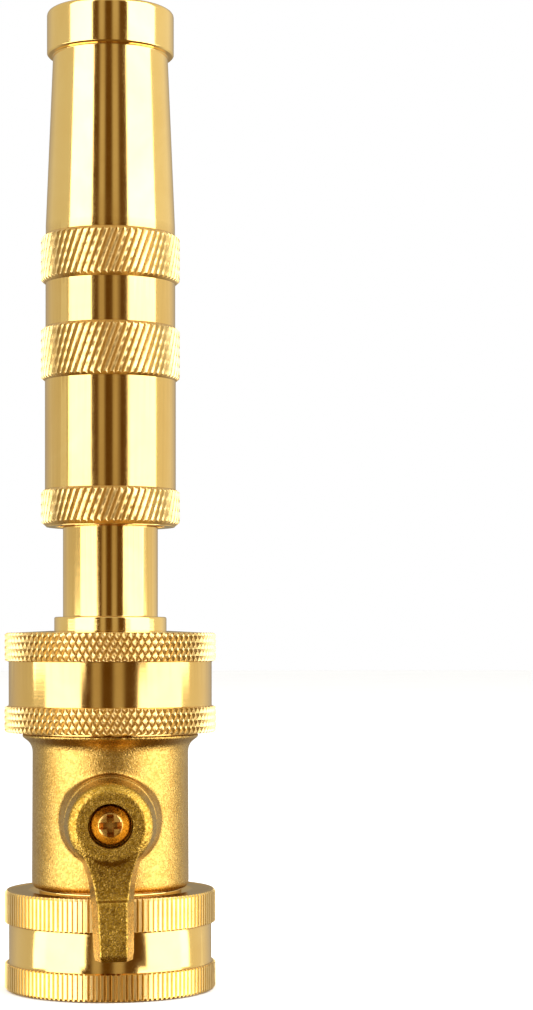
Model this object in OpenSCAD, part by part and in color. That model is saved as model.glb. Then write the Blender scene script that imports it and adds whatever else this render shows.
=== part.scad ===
// Brass twist nozzle for a garden hose, screwed onto a lever-operated ball shut-off valve.
// The hose enters at the bottom. The origin is the centre of the inlet nut's mouth, and +Z runs
// along the water's path to the outlet. The lever stands on the -Y side.

/* [Hose thread] */
// Pitch of the garden-hose thread, 11.5 turns to the inch
hose_pitch = 2.2087; // [2.2087]
// Crest radius of the outside hose thread
hose_male_r = 13.4; // [13.35:0.05:13.45]
// Crest radius of the inside hose thread
hose_female_r = 12.3; // [12.25:0.05:12.35]
// Outside diameter of the rubber hose washers
washer_d = 25.6; // [25:0.1:26]
// Thickness of the rubber hose washers
washer_t = 2.6; // [2.2:0.1:2.6]

/* [Inlet nut] */
// Height of the swivelling inlet nut
nut_h = 14.8; // [14.6:0.1:15]
// Radius over the nut's fluted bands
nut_band_r = 16.1; // [15.9:0.1:16.4]
// Radius of the smooth waist between the bands
nut_waist_r = 15.35; // [15:0.05:15.6]

/* [Valve] */
// Height of the ball's centre and of the lever's pivot
ball_z = 26; // [25.8:0.1:26.2]
// Diameter of the ball
ball_d = 17; // [17]
// Bore through the ball
ball_bore = 11; // [9:0.5:11]
// Outer radius of the cast body
body_r = 11.8; // [11.7:0.1:12.2]
// Lean of the lever at rest, in degrees from fully open
lever_lean = 1.5; // [0:0.5:4]
// Distance from the pivot to the lever's tip
lever_reach = 19.6; // [18:0.2:20]

/* [Nozzle base] */
// Height of the underside of the hose coupling
coupling_z = 38.9; // [38.9]
// Height of the hose coupling
coupling_h = 14.9; // [14.9]
// Radius over the coupling's knurled bands
coupling_band_r = 16.1; // [15.9:0.1:16.4]
// Radius of the bright tube that the sleeve slides down
tube_r = 7.32; // [7.3:0.01:7.34]
// Pitch of the coarse thread that moves the sleeve
sleeve_pitch = 3; // [3]

/* [Twist sleeve] */
// Height of the sleeve's lower edge when it is twisted out
sleeve_z = 69.8; // [69.8]
// Height of the spray outlet
outlet_z = 148; // [147.6:0.1:148.4]
// Radius over the sleeve's three knurled bands
sleeve_band_r = 10.7; // [10.6:0.05:10.9]
// Smallest radius of the spray outlet
throat_r = 4.2; // [4.2]
// Outer radius of the rim around the outlet
rim_r = 9.75; // [9.6:0.05:9.9]

/* [Hidden] */
$fn = 96;

turned_brass = "#d9b15a";
cast_brass = "#c79c4a";
rubber_black = "#1d1d1f";
ptfe_white = "#eeeeea";
chrome_bright = "#d3d6da";

turn_steps = 36;
flank_30 = tan(30);
flank_15 = tan(15);
fit_gap = 0.06;

// Hose threads: the groove of the outside thread and the groove of the inside thread
male_root_r = hose_male_r - 1.4;
relief_r = male_root_r - 0.2;
female_root_r = hose_male_r + 0.25;
male_crest_w = 0.35;
flank_gap = 0.15;
male_groove_w = hose_pitch - male_crest_w;
female_mouth_w = male_crest_w + 2 * flank_gap + 2 * (hose_male_r - hose_female_r) * flank_30;

// Inlet side
washer_r = washer_d / 2;
washer_hole_r = 7.95;
washer_room_r = 13.3;
inlet_seat_z = 8.6;
inlet_roof_z = inlet_seat_z + 4.4;
nut_hole_r = 11;
tail_neck_r = 10.8;
tail_flange_r = 12.1;
tail_flange_z = inlet_seat_z + washer_t + 0.1;
tail_thread_r = 10.2;
tail_top_z = 20.4;
water_r = 6;

// Valve
body_z = nut_h + 0.4;
body_top_z = 48.4;
shoulder_z = 38.3;
cavity_r = 9.25;
ball_r = ball_d / 2;
seat_near = 4.6;
seat_far = 7.6;
seat_ball_r = ball_r + fit_gap;
stem_r = 3.5;
stem_bore_r = stem_r + fit_gap;
stem_head_r = 4.3;
stem_groove_r = 2.1;
stem_seal_r = 2.82;
stem_seal_t = 0.68;
boss_r = 7.2;
boss_y = 14.7;
slot_w = 3.2;
square_w = 5;
square_end = 17.25;

// Lever, measured outwards from the valve's axis
hub_back = 15;
hub_front = 21.5;
hub_r = 6.7;
hub_face_r = 5.1;
hub_recess_r = 3.25;
hub_recess = 18.3;
screw_r = 1.5;
screw_head_r = 3;

// Nozzle base
coupling_top_z = coupling_z + coupling_h;
coupling_seat_z = 48.3;
coupling_roof_z = 51.3;
coupling_waist_r = 15.4;
coupling_room_r = 13.9;
spigot_r = 7.6;
collar_r = 8.7;
collar_z = 56.2;
nose_r = 4.4;
nozzle_bore_r = 4.5;
nose_bore_r = 2.8;
thread_low_z = 73;
thread_high_z = 80.5;
stem_crest_r = 8.15;
stem_root_r = 7.45;
stem_crest_w = 0.9;
land_low_z = 92.5;
land_high_z = 97.5;
land_r = 7.6;
seal_z = 95;
seal_groove_r = 6.05;
seal_t = 0.79;
shut_z = 128.3;
shut_groove_r = 3.05;
shut_ring_t = 0.95;
nose_tip_z = 136;

// Sleeve
sleeve_bore_r = 7.7;
sleeve_root_r = stem_crest_r + 0.25;
wiper_low_z = 70.7;
wiper_high_z = 72.5;
wiper_groove_r = 9;
cone_low_z = 128.1;
throat_low_z = 141.1;
throat_high_z = 143.2;
outlet_r = 6.3;
barrel_top_r = 8.76;
barrel_foot_r = 9.87;
neck_r = 9.9;
lower_barrel_r = 10;

// Points of one four-sided section [radius, height], carried up a right-hand helix
function helix_point(section, pitch, low_z, i, k) =
    [section[k][0] * cos(360 * i / turn_steps),
     section[k][0] * sin(360 * i / turn_steps),
     section[k][1] + low_z + pitch * i / turn_steps];

// A helical cutter: its section's corners run inner low, outer low, outer high, inner high
module helix_cutter(section, pitch, low_z, turns) {
    steps = round(turns * turn_steps);
    points = [for (i = [0:steps]) for (k = [0:3]) helix_point(section, pitch, low_z, i, k)];
    sides = [
        for (i = [0:steps - 1])
            for (k = [0:3])
                let (a = 4 * i + k, b = 4 * i + (k + 1) % 4)
                    each [[a, b, b + 4], [a, b + 4, a + 4]]
    ];
    ends = [[0, 3, 2], [0, 2, 1], [4 * steps, 4 * steps + 1, 4 * steps + 2],
            [4 * steps, 4 * steps + 2, 4 * steps + 3]];
    polyhedron(points = points, faces = concat(sides, ends), convexity = 12);
}

// Section of a groove: w is its width at radius r, and it narrows by the flank's slope to root_r
function groove_section(r, root_r, w, slope, clear_r) =
    let (
        root_w = w - 2 * abs(root_r - r) * slope,
        clear_w = w + 2 * abs(clear_r - r) * slope
    )
    root_r > r
        ? [[clear_r, -clear_w / 2], [root_r, -root_w / 2], [root_r, root_w / 2], [clear_r, clear_w / 2]]
        : [[root_r, -root_w / 2], [clear_r, -clear_w / 2], [clear_r, clear_w / 2], [root_r, root_w / 2]];

// A full turned shape from its half outline
module turned(outline) {
    rotate_extrude() polygon(outline);
}

// A plain cylinder between two heights
module rod(r, low_z, high_z) {
    translate([0, 0, low_z]) cylinder(r = r, h = high_z - low_z);
}

// A flat ring between two heights
module ring(outer_r, inner_r, low_z, high_z) {
    difference() {
        rod(outer_r, low_z, high_z);
        rod(inner_r, low_z - 1, high_z + 1);
    }
}

// A ring of round section
module round_ring(mid_r, section_r, z) {
    translate([0, 0, z]) rotate_extrude() translate([mid_r, 0]) circle(r = section_r, $fn = 48);
}

// Places a shape drawn along +Z on the lever's axis, which points to -Y, with the lever's lean
module on_lever_axis() {
    translate([0, 0, ball_z]) rotate([0, -lever_lean, 0]) rotate([90, 0, 0]) children();
}

module inlet_nut() {
    // the bore stands at the crests of the inside thread
    color(turned_brass) turned([
        [hose_female_r + 0.1, 0], [nut_band_r - 0.5, 0], [nut_band_r, 0.5],
        [nut_band_r, 3.6], [nut_waist_r, 4.4], [nut_waist_r, 9.4],
        [nut_band_r, 10.1], [nut_band_r, nut_h - 0.6], [nut_band_r - 0.6, nut_h],
        [nut_hole_r + 1.4, nut_h], [nut_hole_r, nut_h - 0.9], [nut_hole_r, inlet_roof_z],
        [washer_room_r, inlet_roof_z], [washer_room_r, inlet_seat_z],
        [hose_female_r, inlet_seat_z], [hose_female_r, 0.1]
    ]);
}

module inlet_washer() {
    color(rubber_black) ring(washer_r, washer_hole_r, inlet_seat_z + 0.05, inlet_seat_z + washer_t);
}

module tailpiece() {
    color(turned_brass) turned([
        [water_r, tail_flange_z + 0.5], [water_r + 0.5, tail_flange_z],
        [tail_flange_r, tail_flange_z], [tail_flange_r, inlet_roof_z - 0.1],
        [tail_neck_r, inlet_roof_z - 0.1], [tail_neck_r, body_z - 0.1],
        [tail_thread_r, body_z - 0.1], [tail_thread_r, tail_top_z - 0.3],
        [tail_thread_r - 0.3, tail_top_z], [cavity_r, tail_top_z],
        [cavity_r, ball_z - seat_far], [water_r, ball_z - seat_far]
    ]);
}

module valve_body() {
    color(cast_brass) difference() {
        union() {
            turned([
                [0, body_z], [body_r - 0.5, body_z], [body_r + 0.15, body_z + 0.7],
                [body_r, shoulder_z - 1.9], [body_r + 0.4, shoulder_z - 1.1],
                [body_r + 1.6, shoulder_z - 0.2], [body_r + 1.6, shoulder_z + 0.2],
                [relief_r, shoulder_z + 0.2], [relief_r, shoulder_z + 1.4],
                [hose_male_r, shoulder_z + 2.2], [hose_male_r, body_top_z - 0.7],
                [hose_male_r - 0.7, body_top_z], [0, body_top_z]
            ]);
            translate([0, 0, ball_z]) rotate([90, 0, 0]) {
                rod(boss_r, 0, boss_y);
                translate([0, 0, body_r - 2]) cylinder(r1 = boss_r + 1, r2 = boss_r, h = 2);
            }
        }
        rod(tail_thread_r + 0.04, body_z - 1, tail_top_z + 0.1);
        rod(cavity_r + 0.04, body_z - 1, ball_z + seat_far);
        rod(water_r, ball_z, body_top_z + 1);
        translate([0, 0, ball_z + seat_far + 2.4]) cylinder(r1 = water_r, r2 = 8, h = 3);
        rod(8, ball_z + seat_far + 5.4, body_top_z + 1);
        translate([0, 0, ball_z]) rotate([90, 0, 0]) {
            rod(stem_bore_r, 0, boss_y + 1);
            rod(stem_head_r + 0.2, 0, 10.4);
        }
        helix_cutter(
            groove_section(hose_male_r, male_root_r, male_groove_w, flank_30, hose_male_r + 0.5),
            hose_pitch, shoulder_z + 1.2, 5.25
        );
    }
}

// A seat: a flat ring hollowed to the ball's curve on the side towards it
module ball_seat(side) {
    translate([0, 0, ball_z]) difference() {
        mirror([0, 0, side > 0 ? 0 : 1]) ring(cavity_r - 0.05, water_r - 0.3, seat_near, seat_far - 0.02);
        sphere(r = seat_ball_r);
    }
}

module seat_lower() {
    color(ptfe_white) ball_seat(-1);
}

module seat_upper() {
    color(ptfe_white) ball_seat(1);
}

module valve_ball() {
    color(chrome_bright) translate([0, 0, ball_z]) rotate([0, -lever_lean, 0]) difference() {
        sphere(r = ball_r);
        rod(ball_bore / 2, -ball_r - 1, ball_r + 1);
        translate([-ball_r, -ball_r - 1, -slot_w / 2]) cube([ball_d, 3.3, slot_w]);
    }
}

module valve_stem() {
    color(turned_brass) on_lever_axis() difference() {
        union() {
            turned([
                [0, 8.75], [stem_head_r, 8.75], [stem_head_r, 10.2], [stem_r, 10.2],
                [stem_r, 11.1], [stem_groove_r, 11.1], [stem_groove_r, 12.5],
                [stem_r, 12.5], [stem_r, 12.9], [stem_groove_r, 12.9],
                [stem_groove_r, 14.3], [stem_r, 14.3], [stem_r, 14.95], [0, 14.95]
            ]);
            translate([-square_w / 2, -square_w / 2, 14.9])
                cube([square_w, square_w, square_end - 14.9]);
            translate([-3, -slot_w / 2 + 0.06, 6.4]) cube([6, slot_w - 0.12, 2.5]);
        }
        rod(screw_r + 0.05, 12.2, square_end + 1);
    }
}

// One of the stem's two seals, at a distance out along the lever's axis
module stem_oring(reach) {
    color(rubber_black) on_lever_axis() round_ring(stem_seal_r, stem_seal_t, reach);
}

module stem_oring_inner() {
    stem_oring(11.8);
}

module stem_oring_outer() {
    stem_oring(13.6);
}

// A thin slice across the arm: drop below the pivot, back and front reach, back and front width
module arm_slice(drop, back, front, back_w, front_w) {
    translate([0, -drop, 0]) rotate([90, 0, 0]) linear_extrude(0.1) polygon([
        [-back_w / 2, back], [back_w / 2, back], [front_w / 2, front], [-front_w / 2, front]
    ]);
}

module lever() {
    // drop, back, front, back width, front width
    arm = [
        [3, 15.4, 20.6, 9.4, 7.4], [8, 16.4, 20.2, 7.1, 5.9], [10.8, 18.2, 20.5, 6.5, 5.1],
        [11.3, 18.4, 21.5, 6.4, 4.6], [18.9, 18.5, 21.9, 6, 4.4],
        [lever_reach - 0.1, 18.7, 21.5, 5.7, 4.2]
    ];
    color(cast_brass) on_lever_axis() difference() {
        union() {
            turned([
                [0, hub_back], [hub_r - 0.2, hub_back], [hub_r, hub_back + 0.4],
                [hub_r, hub_front - 3.2], [hub_r - 0.25, hub_front - 1.7],
                [hub_r - 0.8, hub_front - 0.6], [hub_face_r, hub_front], [0, hub_front]
            ]);
            for (i = [0:len(arm) - 2]) hull() {
                arm_slice(arm[i][0], arm[i][1], arm[i][2], arm[i][3], arm[i][4]);
                arm_slice(arm[i + 1][0], arm[i + 1][1], arm[i + 1][2], arm[i + 1][3], arm[i + 1][4]);
            }
        }
        rod(hub_recess_r, hub_recess, hub_front + 1);
        rod(screw_r + 0.4, hub_back - 1, hub_recess + 1);
        translate([-square_w / 2 - 0.05, -square_w / 2 - 0.05, hub_back - 1])
            cube([square_w + 0.1, square_w + 0.1, square_end + 0.05 - hub_back + 1]);
    }
}

module lever_screw() {
    color(turned_brass) on_lever_axis() difference() {
        turned([
            [0, 12.6], [screw_r, 12.6], [screw_r, hub_recess + 0.02], [screw_head_r, hub_recess + 0.02],
            [screw_head_r, hub_recess + 0.8], [screw_head_r - 0.35, hub_recess + 1.4],
            [screw_head_r - 1.2, hub_recess + 1.85], [0, hub_recess + 2]
        ]);
        for (turn = [0, 90]) rotate([0, 0, 45 + turn])
            translate([-1.6, -0.35, hub_recess + 0.9]) cube([3.2, 0.7, 2]);
    }
}

module coupling_washer() {
    color(rubber_black)
        ring(washer_r, washer_hole_r, body_top_z + 0.05, body_top_z + 0.05 + washer_t + 0.15);
}

module nozzle_coupling() {
    low = coupling_z;
    color(turned_brass) difference() {
        turned([
            [female_root_r + 0.1, low], [coupling_band_r - 0.5, low],
            [coupling_band_r, low + 0.5], [coupling_band_r, low + 3.4],
            [coupling_waist_r, low + 4], [coupling_waist_r, coupling_top_z - 4.7],
            [coupling_band_r - 0.1, coupling_top_z - 4.2], [coupling_band_r - 0.1, coupling_top_z - 0.5],
            [coupling_band_r - 0.6, coupling_top_z], [spigot_r + 0.03, coupling_top_z],
            [spigot_r + 0.03, coupling_roof_z], [coupling_room_r, coupling_roof_z],
            [coupling_room_r, coupling_seat_z], [hose_female_r, coupling_seat_z],
            [hose_female_r, low + 1.4]
        ]);
        helix_cutter(
            groove_section(hose_female_r, female_root_r, female_mouth_w, flank_30, hose_female_r - 0.4),
            hose_pitch, shoulder_z + 1.2 - 1.5 * hose_pitch, 6
        );
    }
}

module nozzle_stem() {
    color(turned_brass) difference() {
        turned([
            [nozzle_bore_r + 0.6, coupling_roof_z], [spigot_r, coupling_roof_z],
            [spigot_r, coupling_top_z + 0.03], [collar_r - 0.2, coupling_top_z + 0.03],
            [collar_r, coupling_top_z + 0.3], [collar_r, collar_z - 0.3],
            [collar_r - 0.3, collar_z], [tube_r, collar_z], [tube_r, thread_low_z],
            [stem_crest_r, thread_low_z + 0.6], [stem_crest_r, thread_high_z - 0.6],
            [stem_root_r - 0.2, thread_high_z], [stem_root_r - 0.2, land_low_z - 0.5], [land_r, land_low_z],
            [land_r, seal_z - 0.95], [seal_groove_r, seal_z - 0.95],
            [seal_groove_r, seal_z + 0.95], [land_r, seal_z + 0.95],
            [land_r, land_high_z], [nose_r, land_high_z + 3.6],
            [nose_r, shut_z - 1], [shut_groove_r, shut_z - 1],
            [shut_groove_r, shut_z + 1], [nose_r - 0.1, shut_z + 1],
            [nose_r - 0.1, shut_z + 1.8], [1.5, nose_tip_z - 0.3], [1.2, nose_tip_z],
            [0, nose_tip_z], [0, shut_z - 4.4], [0.8, shut_z - 4.4], [nose_bore_r, shut_z - 5.6],
            [nose_bore_r, land_high_z + 1], [nozzle_bore_r, land_high_z - 0.6],
            [nozzle_bore_r, coupling_roof_z + 0.6]
        ]);
        for (turn = [0, 90]) rotate([0, 0, turn]) translate([0, 0, shut_z - 8])
            rotate([90, 0, 0]) cylinder(r = 1.7, h = 3 * nose_r, center = true);
        helix_cutter(
            groove_section(
                stem_crest_r, stem_root_r, sleeve_pitch - stem_crest_w, flank_15, stem_crest_r + 0.3
            ),
            sleeve_pitch, thread_low_z - 0.8, 3.25
        );
    }
}

module stem_seal_ring() {
    color(rubber_black) round_ring(seal_groove_r + seal_t + 0.01, seal_t, seal_z);
}

module shutoff_ring() {
    color(rubber_black) round_ring(shut_groove_r + shut_ring_t + 0.01, shut_ring_t, shut_z);
}

module sleeve_wiper_ring() {
    color(rubber_black) turned([
        [tube_r + fit_gap, wiper_low_z + 0.6], [tube_r + 0.5, wiper_low_z + 0.05],
        [wiper_groove_r - 0.05, wiper_low_z + 0.05], [wiper_groove_r - 0.05, wiper_high_z - 0.05],
        [tube_r + 0.5, wiper_high_z - 0.05], [tube_r + fit_gap, wiper_high_z - 0.6]
    ]);
}

module nozzle_sleeve() {
    sleeve_mouth_w = stem_crest_w + 2 * flank_gap + 2 * (stem_crest_r - sleeve_bore_r) * flank_15;
    color(turned_brass) difference() {
        turned([
            [sleeve_bore_r + 0.6, sleeve_z], [sleeve_band_r - 0.8, sleeve_z],
            [sleeve_band_r, sleeve_z + 0.7], [sleeve_band_r, sleeve_z + 5.2],
            [lower_barrel_r, sleeve_z + 5.9], [lower_barrel_r, 91.7],
            [sleeve_band_r, 92.4], [sleeve_band_r, 99.6], [neck_r, 100.3], [neck_r, 106.6],
            [sleeve_band_r, 107.3], [sleeve_band_r, 113.4], [barrel_foot_r, 114.2],
            [barrel_foot_r, 115.5], [barrel_top_r, 140.5], [barrel_top_r + 0.2, 141.2],
            [rim_r, 141.7], [rim_r, outlet_z - 0.7], [rim_r - 0.7, outlet_z],
            [outlet_r, outlet_z], [throat_r, throat_high_z], [throat_r, throat_low_z],
            [sleeve_bore_r, cone_low_z], [sleeve_bore_r, wiper_high_z],
            [wiper_groove_r, wiper_high_z], [wiper_groove_r, wiper_low_z],
            [sleeve_bore_r, wiper_low_z], [sleeve_bore_r, sleeve_z + 0.6]
        ]);
        helix_cutter(
            groove_section(sleeve_bore_r, sleeve_root_r, sleeve_mouth_w, flank_15, sleeve_bore_r - 0.3),
            sleeve_pitch, thread_low_z - 0.8 - sleeve_pitch / 2, 7
        );
    }
}

inlet_nut();
inlet_washer();
tailpiece();
valve_body();
seat_lower();
seat_upper();
valve_ball();
valve_stem();
stem_oring_inner();
stem_oring_outer();
lever();
lever_screw();
coupling_washer();
nozzle_coupling();
nozzle_stem();
stem_seal_ring();
shutoff_ring();
sleeve_wiper_ring();
nozzle_sleeve();
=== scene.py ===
import math
import bpy
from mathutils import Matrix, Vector


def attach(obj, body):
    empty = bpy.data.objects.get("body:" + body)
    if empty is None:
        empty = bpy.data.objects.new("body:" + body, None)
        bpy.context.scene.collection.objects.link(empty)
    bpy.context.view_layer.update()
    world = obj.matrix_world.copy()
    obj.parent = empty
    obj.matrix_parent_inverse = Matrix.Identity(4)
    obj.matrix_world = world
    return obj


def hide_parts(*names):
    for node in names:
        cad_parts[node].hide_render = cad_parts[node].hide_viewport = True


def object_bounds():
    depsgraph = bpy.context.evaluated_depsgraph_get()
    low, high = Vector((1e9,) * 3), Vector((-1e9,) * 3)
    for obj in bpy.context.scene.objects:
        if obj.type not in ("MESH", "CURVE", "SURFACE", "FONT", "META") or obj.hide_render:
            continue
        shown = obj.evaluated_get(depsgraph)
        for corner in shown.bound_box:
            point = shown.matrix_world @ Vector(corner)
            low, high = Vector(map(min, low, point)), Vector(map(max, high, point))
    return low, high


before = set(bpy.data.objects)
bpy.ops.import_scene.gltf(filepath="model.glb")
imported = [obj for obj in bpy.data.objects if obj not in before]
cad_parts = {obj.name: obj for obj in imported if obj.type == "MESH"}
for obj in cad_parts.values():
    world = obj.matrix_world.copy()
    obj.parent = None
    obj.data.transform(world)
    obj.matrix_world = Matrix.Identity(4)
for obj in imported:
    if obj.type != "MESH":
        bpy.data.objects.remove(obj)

cadLow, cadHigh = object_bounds()
mm = 0.001
tau = 2 * math.pi
fineGap = 0.0005  # mm; points nearer than this are one point
print("frame loaded, nodes:", len(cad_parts))


def deselectAll():
    if bpy.context.object and bpy.context.object.mode == "EDIT":
        bpy.ops.object.mode_set(mode="OBJECT")
    bpy.ops.object.select_all(action="DESELECT")


def makeActive(*pieces):
    deselectAll()
    for piece in pieces:
        piece.select_set(True)
    bpy.context.view_layer.objects.active = pieces[0]
    return pieces[0]


def nameNew(name):
    piece = bpy.context.object
    piece.name = name
    piece.data.name = name
    return piece


def selectVerts(piece, test):
    # picks vertices by their place, from inside edit mode
    bpy.ops.mesh.select_mode(type="VERT")
    bpy.ops.mesh.select_all(action="DESELECT")
    bpy.ops.object.mode_set(mode="OBJECT")
    for vert in piece.data.vertices:
        vert.select = test(vert.co)
    bpy.ops.object.mode_set(mode="EDIT")


def selectEdges(piece, test):
    bpy.ops.mesh.select_all(action="DESELECT")
    bpy.ops.mesh.select_mode(type="EDGE")
    bpy.ops.object.mode_set(mode="OBJECT")
    verts = piece.data.vertices
    for edge in piece.data.edges:
        edge.select = test(verts[edge.vertices[0]].co, verts[edge.vertices[1]].co)
    bpy.ops.object.mode_set(mode="EDIT")


def applyModifier(piece, kind, **settings):
    makeActive(piece)
    modifier = piece.modifiers.new(kind.lower(), kind)
    for key, value in settings.items():
        setattr(modifier, key, value)
    bpy.ops.object.modifier_apply(modifier=modifier.name)
    return piece


def settle(piece):
    # the place goes into the mesh, and the object stands at the origin
    makeActive(piece)
    bpy.ops.object.transform_apply(location=True, rotation=True, scale=True)
    return piece


def cleanNormals(piece, gap=0.002):
    makeActive(piece)
    bpy.ops.object.mode_set(mode="EDIT")
    bpy.ops.mesh.select_all(action="SELECT")
    bpy.ops.mesh.remove_doubles(threshold=gap * mm)
    bpy.ops.mesh.normals_make_consistent(inside=False)
    bpy.ops.object.mode_set(mode="OBJECT")
    return piece


def smoothBy(piece, degrees):
    makeActive(piece)
    bpy.ops.object.shade_smooth_by_angle(angle=math.radians(degrees))
    return piece


def joinInto(piece, *others):
    makeActive(piece, *others)
    bpy.ops.object.join()
    return piece


def cut(piece, tool, operation="DIFFERENCE"):
    # the tool is used up
    applyModifier(piece, "BOOLEAN", object=tool, operation=operation, solver="EXACT")
    bpy.data.objects.remove(tool, do_unlink=True)
    return piece


def rounded(corners, steps=4, hold=0.12):
    # an outline of (radius, height) or (radius, height, corner radius); round corners become arcs,
    # with a spare point on either side that keeps the flat stretches flat in the light
    points = []
    count = len(corners)
    for i, corner in enumerate(corners):
        here = Vector(corner[:2])
        before = Vector(corners[i - 1][:2]) - here
        after = Vector(corners[(i + 1) % count][:2]) - here
        roundness = corner[2] if len(corner) > 2 else 0
        if not roundness:
            points.append(here)
            continue
        a, b = before.normalized(), after.normalized()
        half = math.acos(max(-1, min(1, a.dot(b)))) / 2
        reach = min(roundness / math.tan(half), 0.49 * before.length, 0.49 * after.length)
        radius = reach * math.tan(half)
        middle = here + (a + b).normalized() * (radius / math.sin(half))
        first, last = here + a * reach, here + b * reach
        if before.length > 2 * (reach + hold):
            points.append(first + a * hold)
        start = (first - middle)
        turn = start.angle_signed(last - middle)
        for k in range(steps + 1):
            angle = -turn * k / steps
            spun = Vector((
                start.x * math.cos(angle) - start.y * math.sin(angle),
                start.x * math.sin(angle) + start.y * math.cos(angle)))
            points.append(middle + spun)
        if after.length > 2 * (reach + hold):
            points.append(last + b * hold)
    return [(p.x, p.y) for p in points]


def turnOnLathe(name, corners, sides=192, steps=4, hold=0.12):
    # draws half an outline point by point, closes it, and spins it round the axis
    outline = rounded(corners, steps, hold)
    deselectAll()
    first = outline[0]
    bpy.ops.mesh.primitive_plane_add(size=mm, location=(0, 0, 0))
    piece = nameNew(name)
    bpy.ops.object.mode_set(mode="EDIT")
    bpy.ops.mesh.select_mode(type="VERT")
    bpy.ops.mesh.select_all(action="SELECT")
    bpy.ops.mesh.merge(type="CENTER")
    bpy.ops.transform.translate(value=(first[0] * mm, 0, first[1] * mm))
    last = first
    for point in outline[1:]:
        step = ((point[0] - last[0]) * mm, 0, (point[1] - last[1]) * mm)
        bpy.ops.mesh.extrude_region_move(TRANSFORM_OT_translate={"value": step})
        last = point
    step = ((first[0] - last[0]) * mm, 0, (first[1] - last[1]) * mm)
    bpy.ops.mesh.extrude_region_move(TRANSFORM_OT_translate={"value": step})
    bpy.ops.mesh.select_all(action="SELECT")
    bpy.ops.mesh.remove_doubles(threshold=fineGap * mm)
    bpy.ops.mesh.select_all(action="SELECT")
    bpy.ops.mesh.spin(steps=sides, angle=tau, center=(0, 0, 0), axis=(0, 0, 1))
    bpy.ops.object.mode_set(mode="OBJECT")
    return cleanNormals(piece, fineGap)


def bridgeInside(piece, factor):
    # turns an open sleeve of skin into a closed ring by carrying both rims inwards and joining them
    makeActive(piece)
    bpy.ops.object.mode_set(mode="EDIT")
    bpy.ops.mesh.select_mode(type="EDGE")
    bpy.ops.mesh.select_all(action="DESELECT")
    bpy.ops.mesh.select_non_manifold(extend=False)
    bpy.ops.mesh.extrude_region_move(TRANSFORM_OT_translate={"value": (0, 0, 0)})
    bpy.ops.transform.resize(value=(factor, factor, 1), center_override=(0, 0, 0))
    bpy.ops.mesh.bridge_edge_loops()
    bpy.ops.object.mode_set(mode="OBJECT")
    return cleanNormals(piece)


def wrapRound(piece, count, pitch, rows, rise, low):
    # repeats one flat cell along X and up Z, then bends the strip into a ring round the axis
    applyModifier(piece, "ARRAY", count=count, use_relative_offset=False, use_constant_offset=True,
                  constant_offset_displace=(pitch * mm, 0, 0), use_merge_vertices=True,
                  merge_threshold=1e-6)
    if rows > 1:
        applyModifier(piece, "ARRAY", count=rows, use_relative_offset=False,
                      use_constant_offset=True, constant_offset_displace=(0, 0, rise * mm),
                      use_merge_vertices=True, merge_threshold=1e-6)
    length = count * pitch
    piece.location = (-(length - pitch) / 2 * mm, 0, low * mm)
    settle(piece)
    applyModifier(piece, "SIMPLE_DEFORM", deform_method="BEND", deform_axis="Z", angle=tau)
    piece.location = (0, -length / tau * mm, 0)
    return settle(piece)


def diamondCell(width, height, depth, flat, shallow):
    # one pyramid with a flat top, its four neighbours' quarters, and trimmed edges that tile
    deselectAll()
    bpy.ops.mesh.primitive_circle_add(vertices=4, radius=0.5 * mm, fill_type="NGON",
                                      rotation=(math.pi / 2, 0, 0))
    cell = settle(nameNew("cell"))
    bpy.ops.object.mode_set(mode="EDIT")
    bpy.ops.mesh.select_all(action="SELECT")
    bpy.ops.transform.resize(value=(width, 1, height), center_override=(0, 0, 0))
    inRadius = 0.25 * width * height / math.hypot(width / 2, height / 2)
    bpy.ops.mesh.inset(thickness=inRadius * (1 - flat) * mm, depth=depth * mm)
    if shallow:
        # the second set of grooves is cut less deep than the first
        def leansBack(a, b):
            onRim = abs(a.y) < 1e-6 and abs(b.y) < 1e-6
            return onRim and (a.x - b.x) * (a.z - b.z) < 0
        selectEdges(cell, leansBack)
        bpy.ops.mesh.subdivide(number_cuts=2)
        selectVerts(cell, lambda co: abs(co.y) < 1e-6
                    and abs(co.x) > 0.02 * width * mm and abs(co.z) > 0.02 * height * mm)
        bpy.ops.transform.translate(value=(0, -depth * shallow * mm, 0))
        bpy.ops.mesh.select_mode(type="FACE")
        bpy.ops.mesh.select_all(action="SELECT")
        bpy.ops.mesh.quads_convert_to_tris()
    bpy.ops.mesh.select_all(action="SELECT")
    halfW, halfH = width / 2 * mm, height / 2 * mm
    for step in ((halfW, halfH), (-2 * halfW, 0), (0, -2 * halfH), (2 * halfW, 0)):
        bpy.ops.mesh.duplicate_move(TRANSFORM_OT_translate={"value": (step[0], 0, step[1])})
    for side in ((1, 0), (-1, 0), (0, 1), (0, -1)):
        bpy.ops.mesh.select_all(action="SELECT")
        bpy.ops.mesh.bisect(plane_co=(side[0] * halfW, 0, side[1] * halfH),
                            plane_no=(side[0], 0, side[1]), clear_outer=True, threshold=1e-7)
    bpy.ops.mesh.select_all(action="SELECT")
    bpy.ops.mesh.remove_doubles(threshold=1e-6)
    bpy.ops.object.mode_set(mode="OBJECT")
    return cell


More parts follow.
